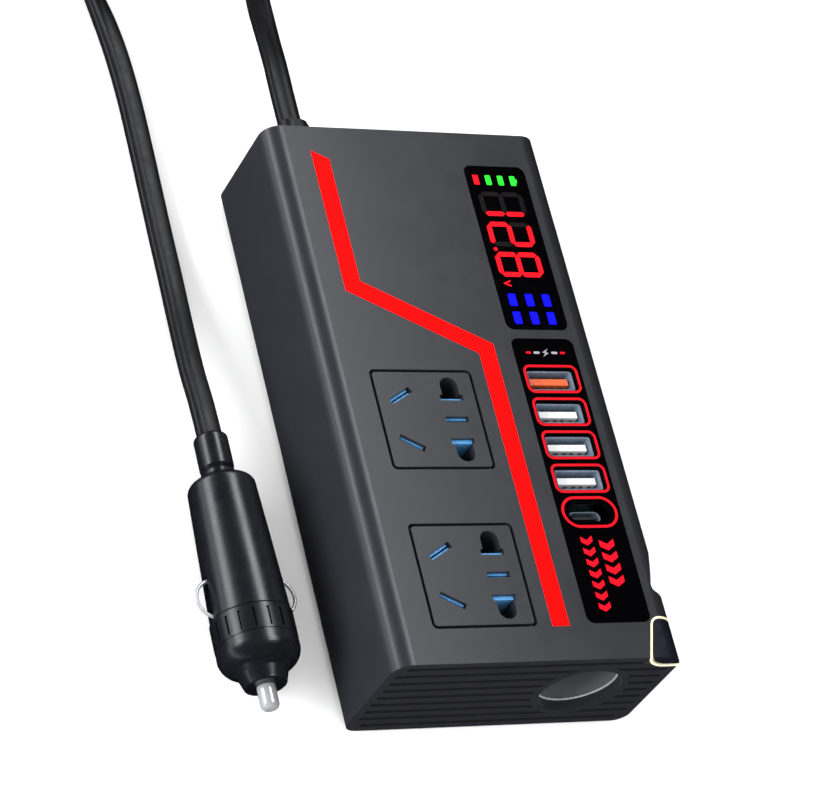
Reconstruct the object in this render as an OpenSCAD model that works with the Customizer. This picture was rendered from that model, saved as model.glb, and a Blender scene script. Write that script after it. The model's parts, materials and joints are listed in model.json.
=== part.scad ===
// Car power inverter: a flat box with two universal outlets, four USB-A ports and
// one USB-C port, a voltmeter, a car socket and a 12 V plug on a flat twin cord.
// Millimetres. +X is to the right, -Y is the grille end, +Z is up. The origin is
// on the ground below the middle of the case.

/* [Case] */
// Width of the case
body_w = 80; // [78:0.5:82]
// Length of the case over both end panels
body_l = 156; // [154:1:160]
// Height of the case without its feet
body_h = 36.2; // [36:0.1:38]
// Wall thickness of the top cover
wall = 2; // [1.8:0.1:2.2]
// Radius of the upper long edges
top_r = 5; // [4.5:0.1:5.5]
// Radius of the lower long edges
bottom_r = 4; // [3.5:0.1:4.5]
// Thickness of each end panel
panel_t = 3; // [2.5:0.1:3]
// How far the rubber feet stand below the case
foot_h = 0.8; // [0.5:0.1:1]

/* [Front grille] */
// Number of grille slots, one above the other
slot_count = 9; // [7:1:9]
// Height of one grille slot
slot_h = 1.4; // [1:0.1:1.6]
// Distance from one slot to the next
slot_pitch = 3.81; // [3.7:0.01:3.85]

/* [Car socket] */
// Inner radius of the socket's metal liner
socket_r = 10.5; // [10.45:0.01:10.6]
// How deep the liner reaches behind the end panel
socket_depth = 28; // [26:1:28]

/* [Top face] */
// Width of the red stripe
stripe_w = 4.7; // [4:0.1:5]
// Side of the square outlet plates, to the middle of the groove
outlet_size = 28.1; // [27.5:0.1:28.5]
// Width of the groove round each outlet plate
groove_w = 0.8; // [0.6:0.1:1]
// Width of the black display window
window_w = 18.2; // [17.5:0.1:18.4]
// Length of the black display window
window_l = 50.9; // [50:0.1:51]
// Distance from one USB port to the next
port_pitch = 9.74; // [9.5:0.01:9.8]

/* [Cord and plug] */
// Width of the flat twin cord
cord_w = 6.6; // [6:0.1:7]
// Thickness of the flat twin cord
cord_t = 3.4; // [3:0.1:3.6]
// Radius of the coil at the middle of its turns
coil_r = 37; // [34:0.5:38]
// Largest radius of the car plug
plug_r = 10.45; // [10.3:0.05:10.5]

/* [Hidden] */
$fn = 64;
eps = 0.01;

case_grey = "#3a3b3e";
black = "#0b0b0d";
steel = "#b9bcc2";
red = "#e8141c";

// Levels and edges of the case
base_z = foot_h;
top_z = foot_h + body_h;
half_w = body_w / 2;
half_l = body_l / 2;
shell_end = half_l - panel_t;
ceiling_z = top_z - wall;
floor_z = base_z + wall;

// Bottom cover, its screws and its feet
cover_half = half_w - bottom_r - 0.2;
screw_spots = [[-31.5, -69.5], [-31.5, 69.5], [32.6, -60], [32.6, 71.5]];
boss_r = 2.9;
screw_r = 1.4;
foot_spots = [[-24, -62], [24, -62], [-24, 62], [24, 62]];
foot_r = 4.5;
post_spots = [[-31, -36], [24, -36], [-31, 60], [20, 60]];
board_z = 5;
board_t = 1.6;
board_top = board_z + board_t;

// Car socket in the front panel
socket_x = 18.4;
socket_z = base_z + 18.4;
mouth_r = 11;
socket_wall = 1.6;
liner_t = 0.5;
socket_outer = socket_r + liner_t + 1.2;
liner_start = -shell_end;
liner_end = liner_start + socket_depth;

// Top face: window, USB panel, ports and outlets
inlay_t = 1.2;
window_x = 23.9;
window_y = 42.25;
panel_y0 = -68.15;
panel_y1 = 14.2;
port_x = 24.05;
port_y0 = 2.05;
port_a = [13.9, 6.7];
shell_a = [13.1, 5.7];
shell_wall = 0.35;
light_t = 0.4;
proud = 0.04;
outlet_x = -13.6;
outlet_ys = [-10.0, -54.1];
outlet_pin = 7.1;
lane_bottom = 22;
usb_post_x = 32;
usb_post_ys = [-41.2, 9.2];

// Seven-segment digits: read along -Y, with their feet towards -X
digit_x = 23.7;
digit_ys = [55.7, 46.2, 36.8];
digit_h = 13.2;
digit_w = 7.6;
seg_t = 1.4;

// Stripe: its middle line on the top face
stripe_line = [[-26.35, 69.1], [-26.35, 29.1], [7.15, 10.9], [7.15, -68.6]];

// Corner button: outline in plan and in front view
corner_c = [35.24, -69.5];
corner_r = 2.6;
corner_lean = 163.5;
corner_low = base_z + 31.3;
corner_front_r = 6.3;
corner_front_x = 29.9;
rim_half = 0.3;
press = 0.6;
stem_at = [35, -71.6];
stem_r = 1.6;
switch_top = 28;

// Fan at the rear
fan_x = 14;
fan_z = base_z + body_h / 2;
fan_size = 30;
fan_t = 10;
fan_y = shell_end - fan_t;
fan_pin_r = 1;

// Cord exit, route and coil
exit_x = -21.7;
exit_z = 17;
boot_l = 14.6;
boot_end = half_l + boot_l;
boot_shift = 0.45;
coil_x = -36;
coil_y = 192;
route_to_coil = [
    [-21.7, 92.6, 17], [-21.5, 103, 16.6], [-20.7, 113, 15.3], [-19.6, 122, 13],
    [-18.3, 131, 10.4], [-16.9, 140, 7.8], [-14.8, 149, 5.4], [-11.5, 158, 3.8],
    [-7, 167, 3.3], [-3, 176, 3.3]
];
route_to_plug = [
    [-73.2, 186, 9.6], [-72, 176, 8.3], [-69.8, 166, 6.3], [-67, 156, 4.2],
    [-64, 146, 2.6], [-61.6, 136, 1.9], [-60, 124, 1.8], [-59.2, 110, 1.8],
    [-59, 95, 1.8], [-59, 80, 1.8], [-59, 66, 1.8], [-59.2, 54, 2.4],
    [-60, 42, 4], [-61.1, 31, 6.3], [-62.1, 20, 8.7], [-62.2, 10, 10.1], [-62.2, -0.2, 10.6]
];

// Car plug: local +Z runs from its cord to its tip
plug_x = -62.2;
plug_z = 10.6;
plug_y = -0.2;
fuse_r = 3.15;
fuse_bore = 3.4;
spigot_r = 6.45;
spigot_end = 54.5;
ring_start = 51.3;
ring_end = 58.5;
nose_end = 69.6;
spring_mid = 45.5;
spring_major = 5.15;
spring_wire = 0.45;
pin_r = 2.35;

// ---------- shared shapes ----------

// A 2-D shape in (x, z) pulled along Y from y0 to y1
module along_y(y0, y1) {
    translate([0, y1, 0]) rotate([90, 0, 0]) linear_extrude(height = y1 - y0) children();
}

// A 2-D shape in (x, y) pulled up from z0 to z1
module up(z0, z1) {
    translate([0, 0, z0]) linear_extrude(height = z1 - z0) children();
}

// Rounded rectangle about the origin
module rounded(size, r) {
    square([size[0] - 2 * r, size[1]], center = true);
    square([size[0], size[1] - 2 * r], center = true);
    for (x = [-1, 1], y = [-1, 1])
        translate([x * (size[0] / 2 - r), y * (size[1] / 2 - r)]) circle(r);
}

// A slot with round ends
module pill(size) {
    square([size[0] - size[1], size[1]], center = true);
    for (x = [-1, 1]) translate([x * (size[0] - size[1]) / 2, 0]) circle(size[1] / 2);
}

module block(x, y, z) {
    translate([x[0], y[0], z[0]]) cube([x[1] - x[0], y[1] - y[0], z[1] - z[0]]);
}

// Outline of the case in (x, z), drawn in from the outside by inset
module case_outline(inset = 0) {
    rt = top_r - inset;
    rb = bottom_r - inset;
    hw = half_w - inset;
    lo = base_z + inset;
    hi = top_z - inset;
    mid = (lo + hi) / 2;
    translate([-hw, lo + rb]) square([2 * hw, hi - rt - lo - rb]);
    translate([-(hw - rt), mid]) square([2 * (hw - rt), hi - mid]);
    translate([-(hw - rb), lo]) square([2 * (hw - rb), mid - lo]);
    for (s = [-1, 1]) {
        translate([s * (hw - rt), hi - rt]) circle(rt);
        translate([s * (hw - rb), lo + rb]) circle(rb);
    }
}

// Rim that locates an end panel inside the top cover
module panel_rim(y0, y1) {
    along_y(y0, y1) difference() {
        case_outline(wall + 0.1);
        case_outline(wall + 1);
    }
}

function arc(c, r, a0, a1, n) =
    [for (i = [0:n]) let (a = a0 + (a1 - a0) * i / n) [c[0] + r * cos(a), c[1] + r * sin(a)]];

// Where the leaning edge of the corner button, moved out by grow, meets a given y
function lean_x(grow, y) =
    let (tx = corner_c[0] + (corner_r + grow) * cos(corner_lean))
    let (ty = corner_c[1] + (corner_r + grow) * sin(corner_lean))
    tx + (ty - y) * tan(corner_lean - 180);

// The corner of the case that the button takes up, moved out by grow and up by lift
module corner_region(grow, lift = 0) {
    out = half_w + 1;
    front = -half_l - 1;
    intersection() {
        up(corner_low - 2, top_z + 1) polygon(concat(
            [[out, corner_c[1] + corner_r + grow]],
            arc(corner_c, corner_r + grow, 90, corner_lean, 8),
            [[lean_x(grow, front), front], [out, front]]
        ));
        along_y(front - 1, -half_l + 20) polygon(concat(
            [[out, top_z + 2], [corner_front_x - grow, top_z + 2]],
            arc([corner_front_x + corner_front_r, corner_low + corner_front_r + lift],
                corner_front_r + grow, 180, 270, 10),
            [[out, corner_low - grow + lift]]
        ));
    }
}

// Slope and rounded step of the finger recess in the right side, in plan
module finger_recess() {
    step_r = 1.6;
    deep = half_w - 4.2;
    up(9, top_z + 1) polygon(concat(
        [[half_w + 1, -45.8], [half_w - 0.6, -46.7], [half_w - 2, -50], [deep, -57.6]],
        arc([deep + step_r, -58.1], step_r, 180, 240, 5),
        [[half_w - 0.6, -60.6], [half_w + 1, -61.4]]
    ));
}

// ---------- case ----------

module top_cover() {
    color(case_grey) difference() {
        union() {
            along_y(-shell_end, shell_end) difference() {
                case_outline();
                case_outline(wall);
                translate([-cover_half - 0.1, base_z - 1]) square([2 * cover_half + 0.2, wall + 1.05]);
            }
            for (p = screw_spots) translate([p[0], p[1], floor_z])
                cylinder(r = boss_r, h = (p[0] > 0 && p[1] < 0 ? 14 : ceiling_z + eps) - floor_z);
            for (y = usb_post_ys)
                translate([usb_post_x, y, lane_bottom]) cylinder(r = 1.9, h = ceiling_z - lane_bottom + eps);
            intersection() {
                block([32.5, half_w], [-64, -44], [7, ceiling_z + eps]);
                along_y(-65, -43) case_outline();
            }
            block([31.8, half_w - 1], [-74.6, -68.5], [20, 22]);
        }
        for (p = screw_spots)
            translate([p[0], p[1], floor_z - 1]) cylinder(r = screw_r, h = 10);
        finger_recess();
        corner_region(rim_half);
        translate([window_x, window_y]) {
            up(top_z - inlay_t, top_z + 1) rounded([window_w, window_l], 2.2);
            up(ceiling_z - 1, top_z) rounded([window_w - 3, window_l - 3], 1);
        }
        translate([window_x, (panel_y0 + panel_y1) / 2])
            up(top_z - inlay_t, top_z + 1) rounded([window_w, panel_y1 - panel_y0], 2.2);
        translate([port_x, port_y(2)])
            up(ceiling_z - 1, top_z) rounded([15, 4 * port_pitch + 9], 1);
        for (y = outlet_ys) translate([outlet_x, y])
            up(ceiling_z - 1, top_z + 1)
                rounded([outlet_size + groove_w, outlet_size + groove_w], 1.5);
        up(top_z - 0.5, top_z + 1) stripe_outline(0.05);
    }
}

module bottom_cover() {
    color(case_grey) difference() {
        union() {
            block([-cover_half, cover_half], [-shell_end, shell_end], [base_z, floor_z]);
            for (p = post_spots)
                translate([p[0], p[1], floor_z - eps]) cylinder(r = 2.5, h = board_z - floor_z + eps);
        }
        for (p = screw_spots) translate([p[0], p[1], base_z - 1]) {
            cylinder(r = screw_r + 0.2, h = 4);
            cylinder(r = 2.4, h = 2.3);
        }
        for (p = foot_spots)
            translate([p[0], p[1], base_z - 1]) cylinder(r = foot_r + 0.1, h = 1.8);
        for (row = [-1, 1], i = [0:7]) translate([-28 + 8 * i, 20 + row * 12, base_z - 1])
            linear_extrude(height = 4) rotate(90) pill([16, 2.4]);
    }
}

// One end panel: full outline, with its locating rim towards the inside
module end_panel(front) {
    s = front ? -1 : 1;
    along_y(front ? -half_l : shell_end, front ? -shell_end : half_l) case_outline();
    panel_rim(front ? -shell_end - eps : shell_end - 1.5, front ? -shell_end + 1.5 : shell_end + eps);
}

function slot_z(i) = base_z + 2.9 + slot_pitch * i;

module front_grille() {
    end_slot = slot_count - 1;
    ring_r = mouth_r + 1.7;
    color(case_grey) difference() {
        union() {
            end_panel(true);
            for (x = [-24, -8, 34])
                block([x - 0.6, x + 0.6], [-shell_end, -shell_end + 1.4], [floor_z + 1, ceiling_z - 1]);
        }
        difference() {
            for (i = [0:end_slot]) {
                cut = (i == 0 || i == end_slot) ? 36 : 37.8;
                block([-cut, cut], [-half_l - 1, -shell_end], [slot_z(i) - slot_h / 2, slot_z(i) + slot_h / 2]);
            }
            along_y(-half_l - 2, -shell_end + 1) translate([socket_x, socket_z]) circle(ring_r);
        }
        along_y(-half_l - 2, -shell_end + 2) translate([socket_x, socket_z]) circle(mouth_r);
        corner_region(rim_half);
        block([31.8, half_w], [-shell_end, -shell_end + 2], [20, ceiling_z + 1]);
    }
}

module rear_panel() {
    color(case_grey) difference() {
        end_panel(false);
        along_y(shell_end - 2, half_l + 1) {
            translate([exit_x, exit_z]) circle(4.1);
            difference() {
                translate([fan_x, fan_z]) circle(13.6);
                for (r = [4, 9]) translate([fan_x, fan_z]) difference() {
                    circle(r + 0.7);
                    circle(r - 0.7);
                }
                for (a = [45, 135]) translate([fan_x, fan_z]) rotate(a) square([40, 1.4], center = true);
            }
            for (i = [0:4]) translate([-22, base_z + 24.5 + 2.2 * i]) pill([22 - 3 * (i == 4 ? 1 : 0), 1.2]);
        }
        for (x = [-1, 1], z = [-1, 1])
            translate([fan_x + x * 12, 0, fan_z + z * 12])
                along_y(shell_end - 2, half_l + 1) circle(1.3);
    }
}

module housing_screws() {
    color(steel) for (p = screw_spots) translate([p[0], p[1], base_z + 0.05]) difference() {
        union() {
            cylinder(r = 2.3, h = 1.2);
            cylinder(r = screw_r, h = 9);
        }
        for (a = [0, 90]) rotate(a) block([-1.6, 1.6], [-0.35, 0.35], [-1, 0.7]);
    }
}

module rubber_feet() {
    color(black) for (p = foot_spots) translate([p[0], p[1], 0]) rotate_extrude()
        polygon([[0, 0], [foot_r - 0.5, 0], [foot_r, 0.5], [foot_r, base_z + 0.8], [0, base_z + 0.8]]);
}

// ---------- stripe ----------

// Corner point of a band of the given width along the stripe's middle line
function mitre(i, side, w) =
    let (n = len(stripe_line) - 1)
    let (a = stripe_line[max(i - 1, 0)], b = stripe_line[i], c = stripe_line[min(i + 1, n)])
    let (u = i == 0 ? unit(c - b) : unit(b - a), v = i == n ? u : unit(c - b))
    let (m = unit(u + v), across = [-m[1], m[0]])
    b + across * side * w / 2 / (m * u);

function unit(v) = v / norm(v);

module stripe_outline(grow = 0) {
    w = stripe_w + 2 * grow;
    n = len(stripe_line) - 1;
    lean = [0, 1.2 + grow];
    tail = [0, -grow];
    polygon(concat(
        [mitre(0, 1, w) - lean + [0, 2 * grow], for (i = [1:n - 1]) mitre(i, 1, w), mitre(n, 1, w) + tail],
        [mitre(n, -1, w) + tail, for (i = [n - 1:-1:1]) mitre(i, -1, w), mitre(0, -1, w) + lean]
    ));
}

module accent_stripe() {
    color(red) up(top_z - 0.5, top_z + 0.1) stripe_outline();
}

// ---------- display ----------

// One straight segment with pointed ends, along X from the origin
module segment(l) {
    h = seg_t / 2;
    polygon([[0, 0], [h, h], [l - h, h], [l, 0], [l - h, -h], [h, -h]]);
}

// The seven segments, in order a to g, of the digit whose middle is at y.
// Its top is towards +X and it is read towards -Y.
module digit_shape(y, which) {
    span = (digit_h - seg_t) / 2;
    side = (digit_w - seg_t) / 2;
    gap = 0.12;
    spots = [
        [span, side, 1], [0, -side, 0], [-span, -side, 0], [-span, side, 1],
        [-span, side, 0], [0, side, 0], [0, side, 1]
    ];
    translate([digit_x, y]) for (i = which) {
        s = spots[i];
        across = s[2] == 1;
        translate([s[0] + (across ? 0 : gap), s[1] - (across ? gap : 0)])
            rotate(across ? -90 : 0) segment((across ? 2 * side : span) - 2 * gap);
    }
}

lit = [[1, 2], [0, 1, 3, 4, 6], [0, 1, 2, 3, 4, 5, 6]];
dark = [[0, 3, 4, 5, 6], [2, 5], []];

module lit_shapes() {
    for (d = [0:2]) digit_shape(digit_ys[d], lit[d]);
    translate([17.9, 41.5]) circle(0.55);
    translate([18.5, 30.9]) for (s = [-1, 1])
        polygon([[-1.1, 0], [1.1, s * 1], [1.1, s * 0.55], [-0.2, 0]]);
}

module dark_shapes() {
    for (d = [0:1]) digit_shape(digit_ys[d], dark[d]);
}

// Outline and bars of one charge icon
module charge_icon(x, nub) {
    translate([x, 63.2]) {
        rounded([1.6, 3], 0.3);
        if (nub) translate([0.95, 0]) square([0.5, 1.2], center = true);
    }
}

module green_shapes() {
    for (i = [1:3]) charge_icon(17.75 + 3.65 * i, i == 3);
}

module bar_shapes() {
    for (x = [18.8, 23.8, 28.8], y = [25.9, 20.4]) translate([x, y]) rounded([2.2, 3.7], 0.4);
}

module window_light(shade) {
    color(shade) up(top_z - light_t, top_z + proud) children();
}

module display_window() {
    color(black) difference() {
        translate([window_x, window_y])
            up(top_z - inlay_t, top_z) rounded([window_w - 0.1, window_l - 0.1], 2.15);
        up(top_z - light_t, top_z + 1) {
            lit_shapes();
            dark_shapes();
            charge_icon(17.75, false);
            green_shapes();
            bar_shapes();
        }
    }
}

module digit_segments_lit() { window_light(red) lit_shapes(); }
module digit_segments_dark() { window_light("#2a2a2c") dark_shapes(); }
module charge_icon_red() { window_light(red) charge_icon(17.75, false); }
module charge_icons_green() { window_light("#25e03a") green_shapes(); }
module load_bars_blue() { window_light("#1c1cff") bar_shapes(); }

module display_module() {
    module_y = window_y - 1.2;
    color("#26282c") difference() {
        translate([window_x, module_y]) {
            up(29, top_z - inlay_t) rounded([window_w - 3.4, window_l - 6.4], 0.8);
            up(27.4, 29 + eps) rounded([window_w - 2, window_l - 6], 0.5);
        }
        for (s = [-1, 1]) translate([window_x + s * 6.5, module_y + s * 20.5, 26]) cylinder(r = 1, h = 4);
    }
}

// ---------- USB panel ----------

function port_y(i) = port_y0 - port_pitch * i;

// Plain marks: two columns of chevrons, and a dash at each end of the label row
module red_mark_shapes() {
    for (i = [0:6]) translate([20.9, -44 - 3.1 * i]) chevron(3.3, 0.9, 1.5);
    for (i = [0:3]) translate([26.4, -45 - 3.4 * i]) chevron(4.2, 1.1, 1.8);
    for (x = [19.1, 29.1]) translate([x, 9.9]) pill([1.5, 0.6]);
}

// A leaning chevron that points towards -Y
module chevron(l, dip, w) {
    polygon([
        [-l / 2, 0], [0, -dip], [l / 2, 0.3], [l / 2, 0.3 - w], [0, -dip - w], [-l / 2, -w]
    ]);
}

// A small bolt between two bars
module grey_mark_shapes() {
    translate([24.1, 9.9]) {
        for (x = [-2.6, 2.6]) translate([x, 0]) pill([1.8, 0.7]);
        polygon([[0.9, 1.2], [-0.9, 0.1], [-0.05, -0.1], [-0.9, -1.2], [0.9, -0.1], [0.05, 0.1]]);
    }
}

module ring_shape(outer, line, r) {
    difference() {
        rounded(outer, r);
        rounded([outer[0] - 2 * line, outer[1] - 2 * line], r - line);
    }
}

module ring_shapes() {
    for (i = [0:3]) translate([port_x, port_y(i)]) ring_shape([15.8, 8.4], 0.7, 2.1);
    translate([port_x, port_y(4)]) ring_shape([16, 9], 0.75, 4.49);
}

module usb_panel() {
    color(black) difference() {
        translate([window_x, (panel_y0 + panel_y1) / 2])
            up(top_z - inlay_t, top_z) rounded([window_w - 0.1, panel_y1 - panel_y0 - 0.1], 2.15);
        for (i = [0:3]) translate([port_x, port_y(i)])
            up(top_z - 2, top_z + 1) rounded(port_a, 1.2);
        translate([port_x, port_y(4)]) up(top_z - 2, top_z + 1) pill([12.2, 5.2]);
        up(top_z - light_t, top_z + 1) {
            ring_shapes();
            red_mark_shapes();
            grey_mark_shapes();
        }
    }
}

module port_rings() { window_light(red) ring_shapes(); }
module panel_marks_red() { window_light(red) red_mark_shapes(); }
module panel_marks_grey() { window_light("#9a9ca0") grey_mark_shapes(); }

module usb_a_shells() {
    color(steel) for (i = [0:3]) translate([port_x, port_y(i)]) difference() {
        up(lane_bottom, top_z - 1) rounded(shell_a, 0.7);
        up(lane_bottom + 1, top_z) rounded([shell_a[0] - 2 * shell_wall, shell_a[1] - 2 * shell_wall], 0.4);
    }
}

module usb_tongue(i) {
    translate([port_x, port_y(i) + 0.3])
        block([-5.55, 5.55], [-0.92, 0.92], [lane_bottom + 1, top_z - 2.2]);
}

module usb_a_tongues() { color("white") for (i = [1:3]) usb_tongue(i); }
module usb_a_tongue_fast() { color("#f07818") usb_tongue(0); }

module usb_a_contacts() {
    color("#d8b25a") for (i = [0:3], x = [-3.5, -1, 1, 3.5])
        translate([port_x + x, port_y(i) + 0.3 - 0.92 - 0.2, lane_bottom + 1]) cube([1, 0.2, 11], center = false);
}

module usb_c_shell() {
    color(steel) translate([port_x, port_y(4)]) difference() {
        up(lane_bottom + 4, top_z - 3) pill([8.94, 3.26]);
        up(lane_bottom + 5, top_z) pill([8.34, 2.66]);
    }
}

module usb_c_tongue() {
    color(black) translate([port_x, port_y(4)])
        block([-3.35, 3.35], [-0.35, 0.35], [lane_bottom + 5, top_z - 3.4]);
}

module usb_board() {
    color("#0f5a34") difference() {
        block([15.5, 34.3], [-43.4, 11.4], [lane_bottom - board_t, lane_bottom]);
        for (y = usb_post_ys) translate([usb_post_x, y, lane_bottom - 3]) cylinder(r = 1, h = 5);
    }
    color("#1a1a1c") {
        block([18, 30], [-41, -33], [lane_bottom, lane_bottom + 4]);
    }
}

// ---------- outlets ----------

// The openings of one universal outlet: three flat lanes for the earthed plug and
// two flat lanes with a round hole for the two-pin plug
module outlet_openings() {
    for (s = [-1, 1]) {
        translate([-outlet_pin - 0.05, s * 6.85]) rotate(s * 30) square([7.2, 1.7], center = true);
        translate([outlet_pin, s * 6.35]) square([6.5, 1.7], center = true);
        translate([outlet_pin, s * 9.7]) circle(2.5);
        translate([outlet_pin - 2.5, s > 0 ? 6.3 : -9.7]) square([5, 3.4]);
    }
    translate([outlet_pin, 0]) square([6.5, 1.6], center = true);
}

module outlet_insert(y) {
    face = outlet_size - groove_w;
    color(case_grey) translate([outlet_x, y]) difference() {
        union() {
            up(ceiling_z - eps, top_z) rounded([face, face], 0.9);
            up(ceiling_z - 1.5, ceiling_z) rounded([face + 4, face + 4], 2);
            up(lane_bottom - 1, ceiling_z - 1.5 + eps) square([26, 26], center = true);
        }
        up(lane_bottom, top_z + 1) outlet_openings();
    }
}

// Sprung contacts in the lanes of one outlet, below its face: pairs of leaves in the
// earthed lanes and one folded leaf beside each round hole
module outlet_contacts(y) {
    leaf = 0.6;
    folded = 1;
    color("#7fb4e6") translate([outlet_x, y]) up(lane_bottom, top_z - 1.1) {
        for (s = [-1, 1]) {
            translate([-outlet_pin - 0.05, s * 6.85]) rotate(s * 30)
                for (t = [-1, 1]) translate([0, t * (0.85 - leaf / 2)]) square([6.4, leaf], center = true);
            translate([outlet_pin, s * (6.35 - 0.85 + folded / 2)]) square([6.2, folded], center = true);
            translate([outlet_pin, s * (0.8 - leaf / 2)]) square([6, leaf], center = true);
        }
    }
}

module outlet_insert_rear() { outlet_insert(outlet_ys[0]); }
module outlet_insert_front() { outlet_insert(outlet_ys[1]); }
module outlet_contacts_rear() { outlet_contacts(outlet_ys[0]); }
module outlet_contacts_front() { outlet_contacts(outlet_ys[1]); }

// ---------- corner button ----------

module power_button() {
    color("#15171f") {
        intersection() {
            corner_region(-rim_half - 0.15, press + 0.1);
            along_y(-half_l, -half_l + 20) case_outline();
        }
        translate([stem_at[0], stem_at[1], switch_top + 0.75])
            cylinder(r = stem_r, h = corner_low + 3 - switch_top);
    }
}

module power_button_ring() {
    color("#efe6bf") difference() {
        intersection() {
            corner_region(rim_half - 0.02);
            along_y(-half_l, -half_l + 20) case_outline();
        }
        corner_region(-rim_half);
        translate([stem_at[0], stem_at[1], corner_low - 2]) cylinder(r = stem_r + 0.4, h = 4);
    }
}

module power_switch() {
    color("#222428") translate([stem_at[0], stem_at[1]]) {
        translate([0, 0, 22]) linear_extrude(height = 4.5) rounded([5.4, 5.4], 0.4);
        translate([0, 0, 26.5 - eps]) cylinder(r = 1.7, h = switch_top - 26.5);
    }
}

// ---------- car socket ----------

module socket_tube(r0, r1, y0, y1) {
    translate([socket_x, y1, socket_z]) rotate([90, 0, 0]) difference() {
        cylinder(r = r1, h = y1 - y0);
        translate([0, 0, -1]) cylinder(r = r0, h = y1 - y0 + 2);
    }
}

module car_socket_housing() {
    color(black)
        socket_tube(socket_r + liner_t, socket_outer, liner_start, liner_end + socket_wall);
}

// Closed end of the socket, with a hole for the contact's stem
module car_socket_cap() {
    seat = liner_end + socket_wall;
    color(black) socket_tube(2, socket_outer, seat, seat + socket_wall);
}

module car_socket_liner() {
    color(steel) socket_tube(socket_r, socket_r + liner_t, liner_start, liner_end);
}

module car_socket_contact() {
    seat = liner_end + socket_wall;
    color("#d8b25a") {
        translate([socket_x, seat, socket_z]) rotate([90, 0, 0]) cylinder(r1 = 4, r2 = 3, h = 1.4);
        socket_tube(0.6, 1.9, seat - eps, seat + socket_wall);
    }
}

// ---------- electronics ----------

module main_board() {
    color("#0f5a34") difference() {
        block([-36, 30.5], [-40, 63], [board_z, board_top]);
        for (p = post_spots) translate([p[0], p[1], board_z - 1]) cylinder(r = 1.1, h = 4);
    }
}

module transformer_core() {
    color("#3b3d40") translate([-19, 25, board_top]) difference() {
        block([-15, 15], [-5.5, 5.5], [0, 23]);
        for (s = [-1, 1]) block(s > 0 ? [5, 10.2] : [-10.2, -5], [-6, 6], [4, 19]);
    }
}

module transformer_winding() {
    color("#c9772b") translate([-19, 25, board_top]) difference() {
        block([-10, 10], [-11, 11], [4.3, 18.7]);
        block([-5.1, 5.1], [-5.6, 5.6], [4, 19]);
    }
}

module capacitors() {
    color("#20242e") {
        for (y = [22, 40]) translate([6, y, board_top]) can(8, 24);
        for (y = [-30, -19]) translate([24, y, board_top]) can(4, 11);
        for (y = [26, 37, 48]) translate([22, y, board_top]) can(5, 14);
    }
}

module can(r, h) {
    rotate_extrude() polygon([
        [0, 0], [r - 0.4, 0], [r, 0.6], [r, h - 0.6], [r - 0.6, h], [0, h]
    ]);
}

module heatsink() {
    color("#9da1a6") {
        block([-34, -30], [42, 62], [board_top, 30]);
        for (i = [0:4]) block([-30 - eps, -20], [42 + 4.5 * i, 43.5 + 4.5 * i], [board_top + 12, 30]);
    }
}

module mosfets() {
    color("#151517") for (y = [45, 57]) block([-30, -25.6], [y - 5, y + 5], [board_top, board_top + 10]);
}

module fuses() {
    color("#c8542a") for (x = [-10, -1]) {
        block([x - 2, x + 2], [48, 62], [board_top + 6, board_top + 13]);
        for (y = [50, 57]) block([x - 0.4, x + 0.4], [y, y + 3], [board_top, board_top + 6 + eps]);
    }
}

// ---------- fan ----------

module fan_frame() {
    hub_end = fan_y + 2;
    color("#1b1c1f") {
        along_y(fan_y, fan_y + fan_t) translate([fan_x, fan_z]) difference() {
            rounded([fan_size, fan_size], 2);
            circle(14);
            for (x = [-1, 1], z = [-1, 1]) translate([x * 12, z * 12]) circle(1.3);
        }
        along_y(fan_y, hub_end) translate([fan_x, fan_z]) {
            circle(6);
            for (a = [90, 210, 330]) rotate(a) translate([5, -0.9]) square([9.5, 1.8]);
        }
        along_y(hub_end - eps, hub_end + 5.4) translate([fan_x, fan_z]) circle(fan_pin_r);
    }
}

module fan_rotor() {
    start = fan_y + 2.4;
    color("#101113") translate([fan_x, 0, fan_z]) {
        translate([0, start + 6.4, 0]) rotate([90, 0, 0]) difference() {
            union() {
                cylinder(r = 6, h = 6.4);
                for (a = [0:360 / 7:359]) rotate(a) translate([5.6, 0, 3.2])
                    rotate([35, 0, 0]) block([0, 7.6], [-0.5, 0.5], [-3.4, 3.4]);
            }
            translate([0, 0, 1]) cylinder(r = fan_pin_r + 0.05, h = 7);
        }
    }
}

// ---------- cord ----------

// Strain relief boot: a flat oval sleeve that leaves the rear panel
module cord_grommet() {
    color(black) translate([exit_x, 0, exit_z]) difference() {
        union() {
            translate([boot_shift, 0, 0]) {
                along_y(half_l, boot_end - 1.8) rounded([8.6, 7.6], 3);
                along_y(boot_end - 1.8 - eps, boot_end - 0.6) rounded([8.2, 7], 3);
                along_y(boot_end - 0.6 - eps, boot_end) rounded([7.6, 5.8], 2.6);
            }
            along_y(shell_end - 2.5, half_l + eps) circle(4);
            along_y(shell_end - 4, shell_end - 1.55) circle(5.4);
        }
        for (i = [0:2]) along_y(half_l + 3 + 3 * i, half_l + 4 + 3 * i) difference() {
            square([24, 20], center = true);
            translate([boot_shift, 0]) rounded([7.4, 5.8], 2.6);
        }
        along_y(shell_end - 5, boot_end - 6) rounded([6, 3], 1.4);
    }
}

// Cross-section of the flat cord: eleven-sided would waste points, ten are enough
cord_sides = 10;
function cord_ring() =
    [for (k = [0:cord_sides - 1]) let (a = 360 * k / cord_sides)
        [cord_w / 2 * sign(cos(a)) * pow(abs(cos(a)), 0.7), cord_t / 2 * sign(sin(a)) * pow(abs(sin(a)), 0.7)]];

function heading(path, i) =
    unit(path[min(i + 1, len(path) - 1)] - path[max(i - 1, 0)]);

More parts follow.
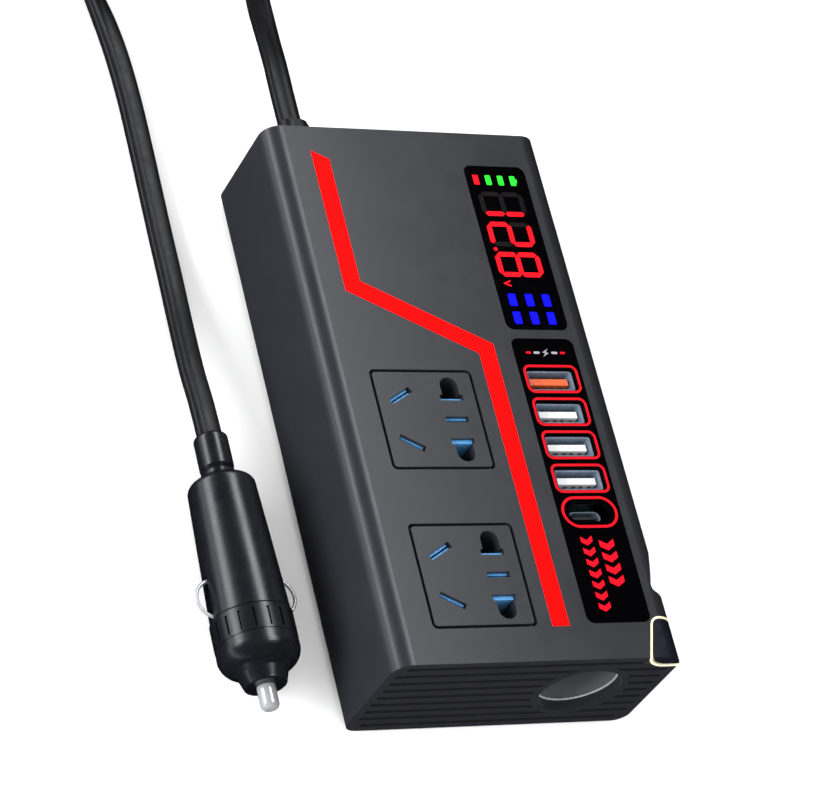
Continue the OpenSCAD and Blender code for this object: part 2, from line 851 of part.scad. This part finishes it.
// Points of one ring: flat where tilt is 0 and on edge where tilt is 90
function ring_at(path, i, tilt) =
    let (t = heading(path, i), side = unit([t[1], -t[0], 0]), over = cross(side, t))
    [for (q = cord_ring())
        path[i] + side * (q[0] * cos(tilt) - q[1] * sin(tilt)) + over * (q[0] * sin(tilt) + q[1] * cos(tilt))];

// A flat cord swept along a path, turning by tilts given for its points
module cord_tube(path, tilts) {
    n = cord_sides;
    m = len(path);
    points = [for (i = [0:m - 1]) each ring_at(path, i, tilts[i])];
    faces = concat(
        [[for (k = [0:n - 1]) k]],
        [for (i = [0:m - 2], k = [0:n - 1])
            [i * n + k, (i + 1) * n + k, (i + 1) * n + (k + 1) % n, i * n + (k + 1) % n]],
        [[for (k = [n - 1:-1:0]) (m - 1) * n + k]]
    );
    polyhedron(points, faces, convexity = 6);
}

// Tilt along a route: 0 up to one point, 90 from another, steady in between
function tilt_up(i, from, to) = 90 * min(1, max(0, (i - from) / (to - from)));

module cord_to_coil() {
    tilts = [for (i = [0:len(route_to_coil) - 1]) tilt_up(i, 4, 8)];
    color(black) cord_tube(route_to_coil, tilts);
}

module cord_to_plug() {
    tilts = [for (i = [0:len(route_to_plug) - 1]) 90 - tilt_up(i, 1, 5)];
    color(black) cord_tube(route_to_plug, tilts);
}

// Outer shape of the coil's turns, in (r, z)
module coil_section(grow = 0) {
    translate([coil_r - 2.2 - grow, 0]) square([4.4 + 2 * grow, 2 * cord_w + 0.3 + grow]);
}

module cord_coil() {
    color(black) translate([coil_x, coil_y, 0]) rotate_extrude() coil_section();
}

module cord_tie() {
    color("#1c1c1e") translate([coil_x, coil_y, 0]) rotate([0, 0, 78])
        rotate_extrude(angle = 24) difference() {
            coil_section(0.9);
            coil_section();
        }
}

// ---------- car plug ----------

module at_plug() {
    translate([plug_x, plug_y, plug_z]) rotate([90, 0, 0]) children();
}

module plug_collar() {
    color("#2b2c30") at_plug() difference() {
        rotate_extrude() polygon(concat(
            [[0, 0], [3.3, 0]], arc([3.3, 1.1], 1.1, -90, 0, 6),
            [[4.4, 9.2], [3.5, 10.4], [3.5, 12], [0, 12]]
        ));
        translate([0, 0, -1]) linear_extrude(height = 6) rounded([6.6, 3.4], 1.6);
    }
}

module plug_body() {
    slot_half = spring_major + spring_wire + 0.35;
    color("#202125") at_plug() difference() {
        rotate_extrude() polygon(concat(
            [[3.5, 10.6], [4.4, 10.6], [4.7, 11.7], [5.5, 12.8], [6.2, 13.2]],
            arc([6.5, 15.4], 2.2, -90, 0, 8), [[9.5, 34.5], [10.15, ring_start - 0.1]],
            [[spigot_r, ring_start - 0.1], [spigot_r, spigot_end], [fuse_bore, spigot_end]],
            [[fuse_bore, 24], [3.5, 24], [3.5, 10.6]]
        ));
        for (s = [0, 180]) rotate(s)
            block([3.9, 12], [-0.75, 0.75], [spring_mid - slot_half, ring_start]);
    }
}

module plug_ring() {
    color("#202125") at_plug() difference() {
        rotate_extrude() polygon([
            [spigot_r + 0.05, ring_start], [plug_r - 0.3, ring_start], [plug_r, ring_start + 0.4],
            [plug_r, ring_end], [spigot_r + 0.05, ring_end]
        ]);
        for (a = [0:20:359]) rotate(a + 10)
            block([plug_r - 0.5, plug_r + 1], [-0.35, 0.35], [ring_start + 1.5, ring_end - 0.6]);
    }
}

module plug_nose_cap() {
    color("#202125") at_plug() rotate_extrude() polygon(concat(
        [[fuse_bore, spigot_end + 0.3], [spigot_r, spigot_end + 0.3], [spigot_r, ring_end + 0.15]],
        [[plug_r - 0.1, ring_end + 0.15]], arc([plug_r - 4.9, ring_end + 2.1], 4.9, 5, 68, 10),
        [[6.4, 66.2]], arc([4.9, nose_end - 0.6], 0.6, 0, 90, 4),
        [[pin_r + 0.05, nose_end], [pin_r + 0.05, 66.7], [fuse_bore, 66.7]]
    ));
}

module plug_tip_pin() {
    color("#e8eaee") at_plug() rotate_extrude() polygon(concat(
        [[2.8, 62.5], [3.3, 62.5], [3.3, 66.5], [pin_r, 66.5]],
        arc([pin_r - 1.4, 74.4], 1.4, 0, 90, 6),
        [[0, 75.8], [0, 65.8], [2.8, 65.8]]
    ));
}

module plug_fuse() {
    color("#c9ccd1") at_plug() rotate_extrude() polygon([
        [0, 28], [fuse_r, 28], [fuse_r, 34], [fuse_r - 0.25, 34], [fuse_r - 0.25, 54],
        [fuse_r, 54], [fuse_r, 60], [0, 60]
    ]);
}

module plug_tip_spring() {
    color(steel) at_plug() rotate_extrude()
        for (i = [0:3]) translate([2.15, 60.4 + 0.68 * i]) circle(0.4, $fn = 24);
}

// One wire contact that bows out of the plug's side
module side_spring(side) {
    leg = 1.3;
    color("#e8eaee") at_plug() rotate(side > 0 ? 0 : 180) translate([7.9, 0, spring_mid]) {
        rotate([90, 0, 0]) rotate([0, 0, -90]) rotate_extrude(angle = 180)
            translate([spring_major, 0]) circle(spring_wire, $fn = 24);
        for (s = [-1, 1]) translate([-leg, 0, s * spring_major]) rotate([0, 90, 0])
            cylinder(r = spring_wire, h = leg + eps, $fn = 24);
    }
}

module plug_side_spring_left() { side_spring(-1); }
module plug_side_spring_right() { side_spring(1); }

// ---------- nodes ----------

top_cover();
bottom_cover();
front_grille();
rear_panel();
accent_stripe();
display_window();
digit_segments_lit();
digit_segments_dark();
charge_icon_red();
charge_icons_green();
load_bars_blue();
display_module();
usb_panel();
port_rings();
usb_a_shells();
usb_a_tongues();
usb_a_tongue_fast();
usb_a_contacts();
usb_c_shell();
usb_c_tongue();
panel_marks_red();
panel_marks_grey();
outlet_insert_rear();
outlet_insert_front();
outlet_contacts_rear();
outlet_contacts_front();
power_button();
power_button_ring();
power_switch();
car_socket_housing();
car_socket_cap();
car_socket_liner();
car_socket_contact();
main_board();
usb_board();
transformer_core();
transformer_winding();
capacitors();
mosfets();
heatsink();
fuses();
fan_frame();
fan_rotor();
housing_screws();
rubber_feet();
cord_grommet();
cord_to_coil();
cord_coil();
cord_to_plug();
cord_tie();
plug_collar();
plug_body();
plug_ring();
plug_nose_cap();
plug_tip_pin();
plug_fuse();
plug_tip_spring();
plug_side_spring_left();
plug_side_spring_right();
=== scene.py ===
"""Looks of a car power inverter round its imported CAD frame.

Adds the camera, the cord with its coil and tie, the lip of the car socket, the materials, the floor
and the lights.
Everything is in metres in the frame's own axes: +X right, -Y the grille end, +Z up, ground at z = 0.
"""
import json
import math

import bmesh
import bpy
from mathutils import Matrix, Vector


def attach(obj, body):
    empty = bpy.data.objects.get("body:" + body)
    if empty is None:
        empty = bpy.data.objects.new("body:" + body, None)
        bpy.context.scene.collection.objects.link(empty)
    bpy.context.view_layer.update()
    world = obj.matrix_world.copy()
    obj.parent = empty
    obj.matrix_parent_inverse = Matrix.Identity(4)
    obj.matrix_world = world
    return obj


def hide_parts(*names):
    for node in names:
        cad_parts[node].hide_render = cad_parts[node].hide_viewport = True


MM = 0.001
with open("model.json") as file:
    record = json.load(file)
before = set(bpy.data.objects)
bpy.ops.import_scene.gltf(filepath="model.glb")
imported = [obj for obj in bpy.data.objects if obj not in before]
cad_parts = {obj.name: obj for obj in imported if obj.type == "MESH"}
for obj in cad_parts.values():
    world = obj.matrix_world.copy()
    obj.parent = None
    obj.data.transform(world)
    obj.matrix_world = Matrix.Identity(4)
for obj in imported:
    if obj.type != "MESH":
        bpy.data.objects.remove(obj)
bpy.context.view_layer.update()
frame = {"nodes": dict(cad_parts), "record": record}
nodes = frame["nodes"]

# ---------- camera ----------

CAMERA_PLACE = Vector((-0.4074, -0.4018, 0.7092))
CAMERA_TARGET = Vector((0.0047, 0.0197, 0.0))
CAMERA_ROLL = math.radians(37.35)
CAMERA_LENS = 151.4


def add_camera():
    data = bpy.data.cameras.new("camera")
    data.lens = CAMERA_LENS
    data.sensor_width = 36.0
    data.sensor_fit = "HORIZONTAL"
    data.clip_end = 20.0
    camera = bpy.data.objects.new("camera", data)
    bpy.context.scene.collection.objects.link(camera)
    aim = (CAMERA_TARGET - CAMERA_PLACE).to_track_quat("-Z", "Y").to_matrix().to_4x4()
    camera.matrix_world = Matrix.Translation(CAMERA_PLACE) @ aim @ Matrix.Rotation(CAMERA_ROLL, 4, "Z")
    bpy.context.scene.camera = camera


add_camera()

# ---------- mesh helpers ----------


def new_object(name, bm, smooth_angle=35.0):
    """Turns a bmesh into an object, smooth except at edges sharper than smooth_angle degrees."""
    bmesh.ops.recalc_face_normals(bm, faces=bm.faces)
    limit = math.radians(smooth_angle)
    for face in bm.faces:
        face.smooth = True
    for edge in bm.edges:
        edge.smooth = len(edge.link_faces) == 2 and edge.calc_face_angle(0.0) < limit
    mesh = bpy.data.meshes.new(name)
    bm.to_mesh(mesh)
    bm.free()
    obj = bpy.data.objects.new(name, mesh)
    bpy.context.scene.collection.objects.link(obj)
    return obj


def skin(bm, rings, closed=False, caps=True):
    """Joins rings of points with quads, and closes the two ends unless the rings go round."""
    made = [[bm.verts.new(p) for p in ring] for ring in rings]
    count = len(made[0])
    pairs = list(zip(made, made[1:])) + ([(made[-1], made[0])] if closed else [])
    for a, b in pairs:
        for k in range(count):
            n = (k + 1) % count
            bm.faces.new((a[k], a[n], b[n], b[k]))
    if caps and not closed:
        bm.faces.new(made[0][::-1])
        bm.faces.new(made[-1])
    return made


def catmull(a, b, c, d, t):
    return 0.5 * (2 * b + (c - a) * t + (2 * a - 5 * b + 4 * c - d) * t * t + (3 * b - a - 3 * c + d) * t**3)


def smooth_path(points, step):
    """Points a step apart along a smooth curve through points, which may carry a fourth number each."""
    points = [Vector(p) for p in points]
    ends = [2 * points[0] - points[1]] + points + [2 * points[-1] - points[-2]]
    fine = []
    for i in range(len(points) - 1):
        span = (points[i + 1] - points[i]).to_3d().length
        parts = max(1, round(span / step))
        fine += [catmull(*ends[i : i + 4], k / parts) for k in range(parts)]
    return fine + [points[-1]]


def frames_along(path, tilts):
    """For each point the sideways and upward directions of a flat section, turned by its tilt in degrees."""
    found = []
    for i, here in enumerate(path):
        ahead = (path[min(i + 1, len(path) - 1)] - path[max(i - 1, 0)]).normalized()
        side = Vector((ahead.y, -ahead.x, 0)).normalized()
        over = side.cross(ahead)
        c, s = math.cos(math.radians(tilts[i])), math.sin(math.radians(tilts[i]))
        found.append((here, side * c + over * s, over * c - side * s))
    return found


# ---------- cord ----------

CORD_W = 6.6 * MM
CORD_T = 3.4 * MM
COIL = Vector((-0.036, 0.192, 0.0))
COIL_R = 0.037
COIL_STEP = 15
COIL_TURN = 540
CORD_CORNER = 0.62
PATH_STEP = 2.5 * MM

ROUTE_TO_COIL = [
    (-0.0217, 0.080, 0.017), (-0.0217, 0.086, 0.017), (-0.0217, 0.0926, 0.017), (-0.0215, 0.103, 0.0166),
    (-0.0207, 0.113, 0.0153), (-0.0196, 0.122, 0.013), (-0.0183, 0.131, 0.0104), (-0.0169, 0.140, 0.0078),
    (-0.0148, 0.149, 0.0054), (-0.0115, 0.158, 0.0038), (-0.007, 0.167, 0.0033), (-0.003, 0.176, 0.0033),
]
ROUTE_TO_PLUG = [
    (-0.0732, 0.186, 0.0096), (-0.072, 0.176, 0.0083), (-0.0698, 0.166, 0.0063), (-0.067, 0.156, 0.0042),
    (-0.064, 0.146, 0.0026), (-0.0616, 0.136, 0.0019), (-0.060, 0.124, 0.0018), (-0.0592, 0.110, 0.0018),
    (-0.059, 0.095, 0.0018), (-0.059, 0.080, 0.0018), (-0.059, 0.066, 0.0018), (-0.0592, 0.054, 0.0024),
    (-0.060, 0.042, 0.004), (-0.0611, 0.031, 0.0063), (-0.0621, 0.020, 0.0087), (-0.0622, 0.010, 0.0101),
    (-0.0622, -0.0002, 0.0106), (-0.0622, -0.0042, 0.0106),
]


def rise(value, low, high):
    """0 below low, 1 above high, and smooth in between."""
    t = min(1.0, max(0.0, (value - low) / (high - low)))
    return t * t * (3 - 2 * t)


def coil_points():
    """One and a half turns on edge: the second lap climbs onto the first."""
    made = []
    for turn in range(0, COIL_TURN + 1, COIL_STEP):
        angle = math.radians(turn)
        height = CORD_W / 2 + CORD_W * rise(turn, 180, 360)
        made.append((COIL.x + COIL_R * math.cos(angle), COIL.y + COIL_R * math.sin(angle), height, 90.0))
    return made


def cord_section():
    """Outline of the twin flat cord: a rounded flat strip with a groove along each face."""
    groove_at, groove_half, groove_deep = 0.16, 0.13, 0.34
    sides = 56
    outline = []
    for k in range(sides):
        a = 2 * math.pi * k / sides
        x = math.copysign(abs(math.cos(a)) ** CORD_CORNER, math.cos(a))
        z = math.copysign(abs(math.sin(a)) ** CORD_CORNER, math.sin(a))
        near = max(0.0, 1 - abs(x - groove_at) / groove_half)
        outline.append((x * CORD_W / 2, z * (1 - groove_deep * near) * CORD_T / 2))
    return outline


def build_cord():
    """The whole cord as one sweep, flat at the case and at the floor and on edge in the coil."""
    start = [(*p, 90 * rise(i, 5, 10)) for i, p in enumerate(ROUTE_TO_COIL)]
    finish = [(*p, 90 - 90 * rise(i, 1, 6)) for i, p in enumerate(ROUTE_TO_PLUG)]
    dense = smooth_path(start + coil_points() + finish, PATH_STEP)
    path = [Vector(p[:3]) for p in dense]
    bm = bmesh.new()
    outline = cord_section()
    rings = [
        [here + side * x + over * z for x, z in outline]
        for here, side, over in frames_along(path, [p[3] for p in dense])
    ]
    skin(bm, rings)
    return new_object("twin_cord", bm, 60), path


cord, cord_path = build_cord()


def build_tie():
    """A cable tie round the two laps of the coil: a thin strap and its lock."""
    middle = COIL + Vector((0, COIL_R, 0))
    half_w, top, thick, corner = 2.6 * MM, 2 * CORD_W + 0.55 * MM, 0.9 * MM, 1.2 * MM
    inner, outer = corner, corner + thick * 0.9
    between = (inner + outer) / 2
    strap = ((-1.6, inner), (1.6, inner), (1.9, between), (1.6, outer), (-1.6, outer), (-1.9, between))
    bm = bmesh.new()
    loop = []
    for cx, cz, start in ((1, 1, 0), (-1, 1, 90), (-1, 0, 180), (1, 0, 270)):
        for k in range(5):
            a = math.radians(start + 22.5 * k)
            z0 = top - corner if cz else corner + thick
            loop.append((cx * (half_w - corner), z0, math.cos(a), math.sin(a)))
    rings = []
    for x, z, nx, nz in loop:
        rings.append([middle + Vector((along * MM, x + nx * r, z + nz * r)) for along, r in strap])
    skin(bm, rings, closed=True)
    lock = bmesh.ops.create_cube(bm, size=1.0)["verts"]
    bmesh.ops.scale(bm, vec=Vector((5 * MM, 2.6 * MM, 4 * MM)), verts=lock)
    bmesh.ops.translate(bm, vec=middle + Vector((0, half_w + 1.7 * MM, top * 0.62)), verts=lock)
    edges = list({e for v in lock for e in v.link_edges})
    bmesh.ops.bevel(bm, geom=edges, offset=0.5 * MM, segments=3, affect="EDGES")
    return new_object("coil_tie", bm)


tie = build_tie()

# ---------- rolled lip of the car socket's liner ----------

SOCKET_AT = Vector((0.0184, -0.0751, 0.0192))
LIP_R = 10.55 * MM
LIP_HALF = 0.32 * MM


def build_lip():
    """The bright rolled edge round the mouth of the socket's metal liner."""
    bm = bmesh.new()
    rings = []
    for k in range(72):
        a = math.radians(5 * k)
        outward = Vector((math.cos(a), 0, math.sin(a)))
        ring = []
        for j in range(10):
            b = math.radians(36 * j)
            across = outward * (LIP_R + LIP_HALF * math.cos(b))
            ring.append(SOCKET_AT + across + Vector((0, LIP_HALF * math.sin(b), 0)))
        rings.append(ring)
    skin(bm, rings, closed=True)
    return new_object("liner_lip", bm, 80)


lip = build_lip()

# ---------- materials ----------


class Maker:
    """Builds a Principled material from a few named parts."""

    def __init__(self, name, color, roughness=0.5, metallic=0.0, specular=0.5):
        self.name = name
        self.material = bpy.data.materials.new(name)
        self.material.use_nodes = True
        self.tree = self.material.node_tree
        self.shader = self.tree.nodes["Principled BSDF"]
        self.set("Base Color", (*color, 1.0))
        self.set("Roughness", roughness)
        self.set("Metallic", metallic)
        self.set("Specular IOR Level", specular)
        self.color = color
        self.roughness = roughness

    def set(self, socket, value):
        self.shader.inputs[socket].default_value = value
        return self

    def node(self, kind, **inputs):
        made = self.tree.nodes.new(kind)
        for name, value in inputs.items():
            made.inputs[name.replace("_", " ")].default_value = value
        return made

    def link(self, source, output, target, socket):
        self.tree.links.new(source.outputs[output], target.inputs[socket])

    def place(self):
        """Coordinates of the piece itself, in metres."""
        if not hasattr(self, "coordinates"):
            self.coordinates = self.node("ShaderNodeTexCoord")
        return self.coordinates

    def grain(self, scale, detail=2.0):
        """A noise texture with cells 1 / scale metres across."""
        made = self.node("ShaderNodeTexNoise", Scale=scale, Detail=detail)
        self.link(self.place(), "Object", made, "Vector")
        return made

    def bump(self, scale, depth, detail=2.0, strength=1.0):
        """Fine relief of a given depth in metres."""
        texture = self.grain(scale, detail)
        relief = self.node("ShaderNodeBump", Strength=strength, Distance=depth)
        self.link(texture, "Fac", relief, "Height")
        self.link(relief, "Normal", self.shader, "Normal")
        return self

    def vary_color(self, scale, amount):
        """Mottles the base colour by a share of itself."""
        texture = self.grain(scale, 3.0)
        ramp = self.node("ShaderNodeValToRGB")
        for element, factor in zip(ramp.color_ramp.elements, (1 - amount, 1 + amount)):
            element.color = (*[min(1.0, c * factor) for c in self.color], 1.0)
        ramp.color_ramp.elements[0].position = 0.3
        ramp.color_ramp.elements[1].position = 0.7
        self.link(texture, "Fac", ramp, "Fac")
        self.link(ramp, "Color", self.shader, "Base Color")
        return self

    def vary_roughness(self, scale, amount):
        texture = self.grain(scale, 4.0)
        spread = self.node("ShaderNodeMapRange")
        spread.inputs["From Min"].default_value = 0.3
        spread.inputs["From Max"].default_value = 0.7
        spread.inputs["To Min"].default_value = max(0.02, self.roughness - amount)
        spread.inputs["To Max"].default_value = min(1.0, self.roughness + amount)
        self.link(texture, "Fac", spread, "Value")
        self.link(spread, "Result", self.shader, "Roughness")
        return self

    def coat(self, weight, roughness):
        return self.set("Coat Weight", weight).set("Coat Roughness", roughness)

    def glow(self, strength):
        return self.set("Emission Color", (*self.color, 1.0)).set("Emission Strength", strength)


def case_material(name, color):
    """Fine satin moulding: tiny spark-eroded grain and faint unevenness of gloss."""
    made = Maker(name, color, 0.32, specular=0.5)
    made.vary_color(60.0, 0.05).vary_roughness(180.0, 0.03)
    return made.bump(5200.0, 0.00002, 2.0, 0.35)


def lit_material(name, color, strength):
    return Maker(name, color, 0.4, specular=0.03).glow(strength).vary_roughness(900.0, 0.05)


def finish_list():
    """Every material, by the name of its finish."""
    made = [
        case_material("case_plastic", (0.016, 0.0165, 0.0205)),
        case_material("outlet_plastic", (0.016, 0.0165, 0.02)),
        # red_trim: the red plastic stripe glows though it is no lamp; its emission is painted light
        Maker("red_trim", (0.9, 0.0, 0.0), 0.5, specular=0.03).glow(0.35).vary_roughness(300.0, 0.05),
        Maker("black_gloss", (0.0009, 0.0007, 0.001), 0.12, specular=0.09).vary_roughness(120.0, 0.03),
        lit_material("lit_red", (0.85, 0.004, 0.01), 0.8),
        Maker("ring_red", (0.5, 0.004, 0.01), 0.4, specular=0.03).glow(0.4).vary_color(900.0, 0.06),
        lit_material("lit_green", (0.02, 0.8, 0.03), 0.6),
        lit_material("lit_blue", (0.002, 0.002, 0.9), 0.9),
        Maker("unlit_segment", (0.006, 0.005, 0.0055), 0.3, specular=0.1).vary_color(900.0, 0.2),
        Maker("dark_plastic", (0.009, 0.009, 0.011), 0.4).vary_roughness(300.0, 0.08).bump(3000.0, 0.00002),
        Maker("white_plastic", (0.82, 0.83, 0.85), 0.35).vary_color(700.0, 0.04),
        Maker("orange_plastic", (0.85, 0.12, 0.02), 0.35).vary_color(700.0, 0.08),
        Maker("connector_steel", (0.6, 0.64, 0.7), 0.24, 0.6).vary_roughness(900.0, 0.08),
        # USB shells: the dark blue-tinted steel is painted shade inside the ports with a painted blue glint
        Maker("shell_painted_shade_and_glint", (0.2, 0.26, 0.34), 0.3, 0.4).vary_roughness(500.0, 0.05),
        Maker("liner_steel", (0.17, 0.175, 0.18), 0.34, 0.4).vary_roughness(200.0, 0.04),
        # outlet contacts: the blue colour is a painted blue glint, not the metal's own colour
        Maker("contact_painted_blue_glint", (0.12, 0.4, 0.8), 0.22, 0.3).vary_roughness(900.0, 0.1),
        Maker("contact_brass", (0.75, 0.56, 0.28), 0.28, 1.0).vary_roughness(600.0, 0.08),
        # red_print: the printed red marks glow though they are no lamp; their emission is painted light
        Maker("red_print", (0.8, 0.003, 0.012), 0.45, specular=0.03).glow(0.3).vary_color(900.0, 0.1),
        Maker("grey_print", (0.3, 0.3, 0.32), 0.4, specular=0.2).vary_color(900.0, 0.1),
        Maker("button_gloss", (0.007, 0.0075, 0.014), 0.3, specular=0.35).vary_roughness(400.0, 0.05),
        Maker("button_glow", (0.85, 0.76, 0.5), 0.35, specular=0.1).glow(0.12).vary_color(500.0, 0.05),
        Maker("circuit_board", (0.02, 0.13, 0.06), 0.35).vary_color(350.0, 0.25).bump(1500.0, 0.00003),
        Maker("ferrite", (0.045, 0.045, 0.05), 0.6).vary_color(500.0, 0.15).bump(900.0, 0.00005),
        Maker("winding_wire", (0.5, 0.2, 0.05), 0.3).coat(0.6, 0.2).vary_color(500.0, 0.2),
        Maker("heatsink_aluminium", (0.7, 0.71, 0.73), 0.35, 1.0).vary_roughness(700.0, 0.1),
        Maker("screw_steel", (0.55, 0.55, 0.57), 0.3, 1.0).vary_roughness(900.0, 0.08),
        Maker("foot_rubber", (0.012, 0.012, 0.013), 0.8).bump(2500.0, 0.00005).vary_color(300.0, 0.15),
        Maker("cord_rubber", (0.006, 0.006, 0.007), 0.4, specular=0.3)
        .vary_color(250.0, 0.15).vary_roughness(300.0, 0.06).bump(1800.0, 0.00003, 2.0, 0.4),
        Maker("plug_gloss", (0.0045, 0.0048, 0.007), 0.28, specular=0.75)
        .vary_roughness(220.0, 0.03).vary_color(400.0, 0.1),
        Maker("plug_chrome", (0.5, 0.51, 0.53), 0.2, 0.6).vary_roughness(900.0, 0.05),
        Maker("fuse_glass", (0.75, 0.78, 0.8), 0.12, 0.6).vary_roughness(600.0, 0.04),
    ]
    return {one.name: one for one in made}


MATERIALS = finish_list()

FINISH_OF = {
    "outlet_insert_rear": "outlet_plastic",
    "outlet_insert_front": "outlet_plastic",
    # the outlet contacts carry the painted blue glint
    "outlet_contacts_rear": "contact_painted_blue_glint",
    "outlet_contacts_front": "contact_painted_blue_glint",
    "car_socket_liner": "liner_steel",
    "port_rings": "ring_red",
    # the USB shells carry the painted shade and blue glint
    "usb_a_shells": "shell_painted_shade_and_glint",
    "usb_c_shell": "shell_painted_shade_and_glint",
}


def paint(obj, finish):
    obj.data.materials.clear()
    obj.data.materials.append(MATERIALS[finish].material)


for part in frame["record"]["subparts"]:
    paint(nodes[part["node"]], FINISH_OF.get(part["node"], part["material_slot"]))

# ---------- cord and its pieces are painted and attached to the case ---

for piece, finish in ((cord, "cord_rubber"), (tie, "dark_plastic"), (lip, "connector_steel")):
    paint(piece, finish)
    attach(piece, "case")
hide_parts("cord_to_coil", "cord_coil", "cord_to_plug")
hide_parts("cord_tie")

# ---------- floor and light ----------

FLOOR = (0.95, 0.95, 0.95)
WORLD_STRENGTH = 1.3
COOL = (0.93, 0.95, 1.0)


def add_floor():
    bm = bmesh.new()
    bmesh.ops.create_grid(bm, x_segments=1, y_segments=1, size=3.0)
    floor = new_object("floor", bm)
    floor.data.materials.append(Maker("floor_white", FLOOR, 0.9, specular=0.0).material)
    floor.visible_glossy = False


def add_area(name, place, target, size, power, gloss=False, color=(1, 1, 1)):
    """An area light seen only in gloss, or only in diffuse shading."""
    data = bpy.data.lights.new(name, "AREA")
    data.shape = "RECTANGLE"
    data.size, data.size_y = size
    data.energy = power
    data.color = color
    lamp = bpy.data.objects.new(name, data)
    bpy.context.scene.collection.objects.link(lamp)
    lamp.location = place
    lamp.rotation_euler = (Vector(target) - Vector(place)).to_track_quat("-Z", "Y").to_euler()
    lamp.visible_camera = False
    lamp.visible_diffuse = not gloss
    lamp.visible_glossy = gloss


def add_world():
    """Even white light from all round; the strip lights alone show in gloss."""
    world = bpy.data.worlds.new("studio")
    bpy.context.scene.world = world
    world.use_nodes = True
    background = world.node_tree.nodes["Background"]
    background.inputs["Color"].default_value = (1, 1, 1, 1)
    background.inputs["Strength"].default_value = WORLD_STRENGTH
    world.cycles_visibility.glossy = False


add_floor()
add_world()
add_area("top_strip", (0.09, 0.25, 0.42), (0.09, 0.25, 0.0), (0.145, 0.75), 2.1, gloss=True, color=COOL)
add_area("left_strip", (-0.70, 0.40, 0.24), (-0.03, 0.0, 0.03), (0.75, 0.26), 3.2, gloss=True, color=COOL)
add_area("floor_glow", (-0.24, 0.05, 0.002), (-0.24, 0.05, 1.0), (0.24, 0.6), 0.7, gloss=True, color=COOL)
add_area("left_fill", (-0.9, -0.1, 0.3), (0.0, 0.0, 0.02), (0.6, 0.5), 15.0)
add_area("front_fill", (0.1, -0.9, 0.25), (0.0, 0.0, 0.02), (0.6, 0.5), 3.5)
bpy.context.scene.view_settings.view_transform = "Standard"
